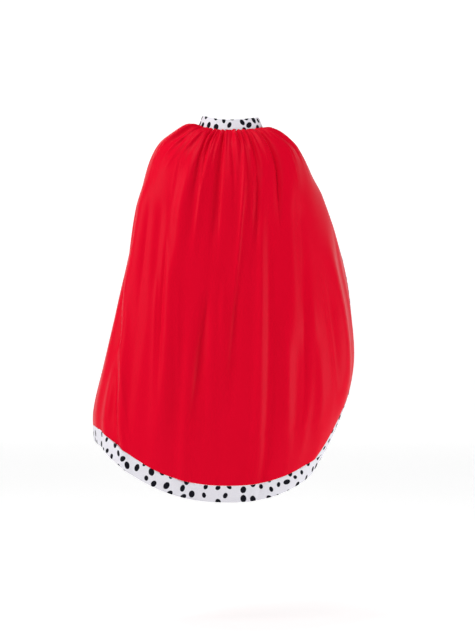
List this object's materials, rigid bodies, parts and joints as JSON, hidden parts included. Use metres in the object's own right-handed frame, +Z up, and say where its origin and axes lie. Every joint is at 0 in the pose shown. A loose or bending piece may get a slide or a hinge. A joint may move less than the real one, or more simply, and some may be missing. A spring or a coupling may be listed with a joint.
{
  "type": "king cape",
  "caption": "Child's king cape: red cloth gathered to a lapped stand collar, edged all round with a spotted plush band, hollow as worn.",
  "frame": {"origin": "centre of the neck, level with the neck seam at the centre of the back, where the wearer holds the cape up", "axes": "+Z up, -Y the way the wearer faces, +X towards the wearer's left"},
  "size_m": [0.5688, 0.2864, 0.8195],
  "materials": {
    "red_cloth": "smooth polyester satin weave with a soft sheen",
    "spotted_plush": "short white plush printed with dark oval spots",
    "fastener_tape": "white hook and loop tape"
  },
  "bodies": {
    "root": {"cape_cloth": "red_cloth", "right_front_band": "spotted_plush", "left_front_band": "spotted_plush", "hem_band": "spotted_plush", "neckband": "spotted_plush", "fastener_loop_pad": "fastener_tape", "fastener_hook_pad": "fastener_tape"}
  },
  "joints": []
}
